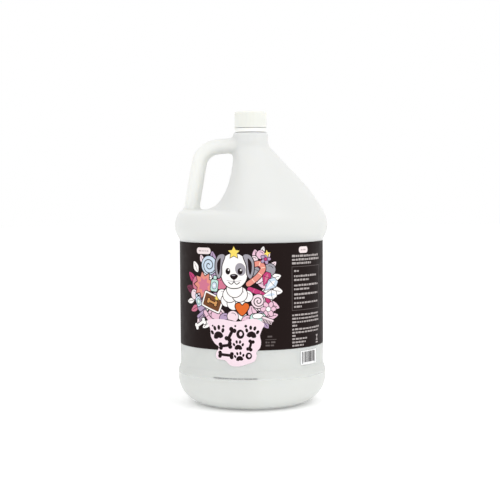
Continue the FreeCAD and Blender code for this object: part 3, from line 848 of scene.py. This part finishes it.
def printed(name, colour, alpha=1.0, roughness=0.5, gloss=0.06):
    """Ink on the label film: an even colour, with the film's fine grain and slight waves in its gloss."""
    finish = Finish(name, Base_Color=colour, Specular_IOR_Level=gloss, Alpha=alpha)
    finish.link(finish.between(finish.noise(140.0, detail=3.0), roughness - 0.05, roughness + 0.07),
                finish.shader.inputs["Roughness"])
    waves = finish.bump(finish.noise(1, detail=2.0, place=finish.stretched((16, 16, 5))), 0.12, 0.5)
    finish.bump(finish.noise(1600.0, detail=2.0), 0.006, 0.6, onto=waves)
    return finish.material


CLEAR_ALPHA = 0.3
INKS = {
    "clear": shade(234, 236, 234), "film": shade(30, 20, 19),
    "line": shade(30, 20, 21), "ink": shade(33, 21, 23),
    "white": shade(246, 242, 240), "pale": shade(236, 214, 222), "pink": shade(228, 188, 206),
    "rose": shade(204, 118, 142), "magenta": shade(188, 64, 116), "wine": shade(112, 50, 74),
    "lilac": shade(176, 152, 184), "grey": shade(156, 152, 160), "blue": shade(200, 215, 230),
    "teal": shade(188, 221, 213), "salmon": shade(224, 142, 128), "orange": shade(216, 104, 46),
    "brown": shade(112, 70, 44), "ochre": shade(204, 148, 92), "gold": shade(240, 214, 104),
    "cream": shade(246, 222, 196), "splash": shade(238, 217, 226), "tab": shade(236, 222, 222),
    "faint": shade(186, 170, 172), "print": shade(172, 164, 162), "frame": shade(92, 84, 83),
    "fine": shade(120, 120, 122),
}


# ---- the label ----

def inside_loop(loop, u, v):
    """Which points lie inside a loop."""
    inside = np.zeros(u.shape, bool)
    for (au, av), (bu, bv) in zip(loop, np.roll(loop, -1, axis=0)):
        if av != bv:
            inside ^= ((av > v) != (bv > v)) & (u < (bu - au) * (v - av) / (bv - av) + au)
    return inside


def flattened(shapes, edges):
    """Overlapping inked shapes as one sheet of triangles that don't overlap, each with the topmost ink."""
    points, loops, cuts = [], [], []
    for _, loop in shapes:
        loops.append(list(range(len(points), len(points) + len(loop))))
        points += [Vector((float(u), float(v))) for u, v in loop]
    for start, end in edges:
        cuts.append((len(points), len(points) + 1))
        points += [Vector(start), Vector(end)]
    borders = [(a, b) for loop in loops for a, b in zip(loop, loop[1:] + loop[:1])]
    made = geometry.delaunay_2d_cdt(points, borders + cuts, [], 0, 1e-4, False)
    corners = np.array([tuple(point) for point in made[0]])
    faces = np.array([face for face in made[2] if len(face) == 3])
    middle = corners[faces].mean(axis=1)
    inks = np.zeros(len(faces), int)
    names = list(INKS)
    for ink, loop in shapes:
        low, high = loop.min(axis=0), loop.max(axis=0)
        near = np.flatnonzero(((middle >= low) & (middle <= high)).all(axis=1))
        hit = near[inside_loop(loop, middle[near, 0], middle[near, 1])]
        inks[hit] = names.index(ink)
    return corners, faces, inks


def make_film(materials):
    """The film round the panel: a dark band with its drawing, and a clear strip over the low bumper."""
    edge = FILM_RADIUS * math.pi - FILM_GAP / 2
    sheet = Drawing()
    sheet.fill("clear", [(-edge, FILM_BOTTOM), (edge, FILM_BOTTOM), (edge, FILM_TOP), (-edge, FILM_TOP)])
    sheet.fill("film", [(-edge, BAND_BOTTOM), (edge, BAND_BOTTOM), (edge, FILM_TOP), (-edge, FILM_TOP)])
    draw_doodles(sheet)
    draw_dog(sheet)
    draw_splash(sheet)
    draw_side_panel(sheet)
    upright = np.arange(-edge, edge, FILM_RADIUS * math.radians(2))[1:]
    level = np.arange(FILM_BOTTOM, PANEL_BOTTOM + 4, 0.75)[1:]
    edges = [((u, FILM_BOTTOM), (u, FILM_TOP)) for u in upright]
    edges += [((-edge, v), (edge, v)) for v in level]
    corners, faces, inks = flattened(sheet.shapes, edges)
    outline = rounded_outline(body_corners() + [(SHOULDER, SHOULDER_HEIGHT, 0), (0, SHOULDER_HEIGHT, 0)])
    outside = outline[outline[:, 0] > PANEL - 1]
    angle, height = corners[:, 0] / FILM_RADIUS, corners[:, 1]
    reach = np.interp(height, outside[:, 1], outside[:, 0]) + FILM_THICK
    lean = (np.interp(height + 0.4, outside[:, 1], outside[:, 0]) + FILM_THICK - reach) / 0.4
    points = np.stack([reach * np.sin(angle), -reach * np.cos(angle), height], axis=1)
    film = make_piece("label_sheet", points, faces, materials, "bottle", "label_film", inks)
    normals = np.stack([np.sin(angle), -np.cos(angle), -lean], axis=1)
    film.data.normals_split_custom_set_from_vertices(normals / np.linalg.norm(normals, axis=1)[:, None])
    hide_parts("label_film")


def make_bars(material):
    """The bars of a made-up bar code on the sticker."""
    first, last = math.radians(BARS_START), math.radians(BARS_END)
    points, faces = [], []
    angle = first
    while angle < last:
        width = RNG.choice([0.35, 0.35, 0.7, 1.05]) / STICKER_RADIUS
        foot = BARS_BOTTOM - (GUARD_BAR_DROP if angle == first or angle + width > last - 0.01 else 0.0)
        for a in (angle, angle + width):
            for up in (foot, BARS_TOP):
                points.append((STICKER_RADIUS * math.sin(a), -STICKER_RADIUS * math.cos(a), up))
        k = len(points) - 4
        faces.append((k, k + 2, k + 3, k + 1))
        angle += width + RNG.choice([0.35, 0.5, 0.8]) / STICKER_RADIUS
    make_piece("barcode_bars", points, faces, [material], "bottle", "sticker_paper")


# ---- the scene around it ----

CAMERA_LENS = 84.2
CAMERA_AWAY = 1.22
CAMERA_LEFT = 0.00136
CAMERA_HEIGHT = 0.2204
CAMERA_PITCH = math.radians(2.89)
CAMERA_ROLL = math.radians(-0.35)
AIM = (0.0, 0.0, 0.16)
FLOOR_HALF = 6.0


def make_camera():
    """The camera in front of the bottle and a little above its middle, looking slightly down."""
    camera = bpy.data.objects.new("camera", bpy.data.cameras.new("camera"))
    camera.data.lens = CAMERA_LENS
    camera.data.sensor_width = 36.0
    camera.data.clip_start = 0.05
    bpy.context.scene.collection.objects.link(camera)
    camera.matrix_world = (
        Matrix.Translation((-CAMERA_LEFT, -CAMERA_AWAY, CAMERA_HEIGHT))
        @ Matrix.Rotation(math.radians(90) - CAMERA_PITCH, 4, "X")
        @ Matrix.Rotation(CAMERA_ROLL, 4, "Z"))
    bpy.context.scene.camera = camera


def area_light(name, place, size, power):
    """A white softbox that faces the bottle; its power is in watts."""
    light = bpy.data.lights.new(name, "AREA")
    light.shape = "RECTANGLE"
    light.size, light.size_y = size
    light.energy = power
    lamp = bpy.data.objects.new(name, light)
    bpy.context.scene.collection.objects.link(lamp)
    lamp.location = place
    lamp.rotation_euler = (Vector(AIM) - Vector(place)).to_track_quat("-Z", "Y").to_euler()


def make_studio():
    """A flat pale floor under a white surround, lit from high right, high left and above."""
    world = bpy.data.worlds.new("studio")
    world.use_nodes = True
    world.node_tree.nodes["Background"].inputs["Color"].default_value = (1.0, 1.0, 1.0, 1.0)
    world.node_tree.nodes["Background"].inputs["Strength"].default_value = 1.0
    bpy.context.scene.world = world
    sweep = Finish("studio_paper", Roughness=0.9, Emission_Strength=0.12)
    sweep.link(sweep.colours(sweep.noise(3.0), (0.975, 0.975, 0.975, 1), (1.0, 1.0, 1.0, 1)),
               sweep.shader.inputs["Base Color"])
    sweep.bump(sweep.noise(300.0), 0.1)
    mesh = bpy.data.meshes.new("studio_floor")
    signs = [(-1, -1), (1, -1), (1, 1), (-1, 1)]
    corners = [(FLOOR_HALF * across, FLOOR_HALF * along, 0) for across, along in signs]
    mesh.from_pydata(corners, [], [(0, 1, 2, 3)])
    mesh.materials.append(sweep.material)
    floor = bpy.data.objects.new("studio_floor", mesh)
    bpy.context.scene.collection.objects.link(floor)
    area_light("key_right", (0.56, -0.82, 1.10), (0.50, 0.40), 2.0)
    area_light("fill_left", (-0.29, -0.95, 1.10), (0.18, 0.18), 0.35)
    area_light("above", (0.3, 0.0, 1.5), (0.8, 0.8), 0.9)
    bpy.context.scene.view_settings.view_transform = "Standard"


def finish_frame_parts():
    """The CAD parts that stay in view, each with its own material."""
    cap = milky_plastic("cap_satin", shade(229, 230, 224), shade(238, 239, 234), 0.38, 1.5)[0]
    ring = milky_plastic("ring_satin", shade(238, 239, 234), shade(246, 246, 243), 0.38, 1.0)[0]
    looks = {
        "screw_cap": cap.material,
        "tamper_ring": ring.material,
        "cap_liner": foam(),
        "barcode_sticker": paper(),
    }
    for node, material in looks.items():
        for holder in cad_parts[node].material_slots:
            holder.link = "OBJECT"
            holder.material = material


MILK = bottle_milk()
make_bottle(MILK)
make_neck(MILK)
finish_frame_parts()
make_film([printed("film_" + name, colour, CLEAR_ALPHA if name == "clear" else 1.0)
           for name, colour in INKS.items()])
make_bars(printed("bar_ink", shade(62, 58, 60)))
make_studio()
make_camera()
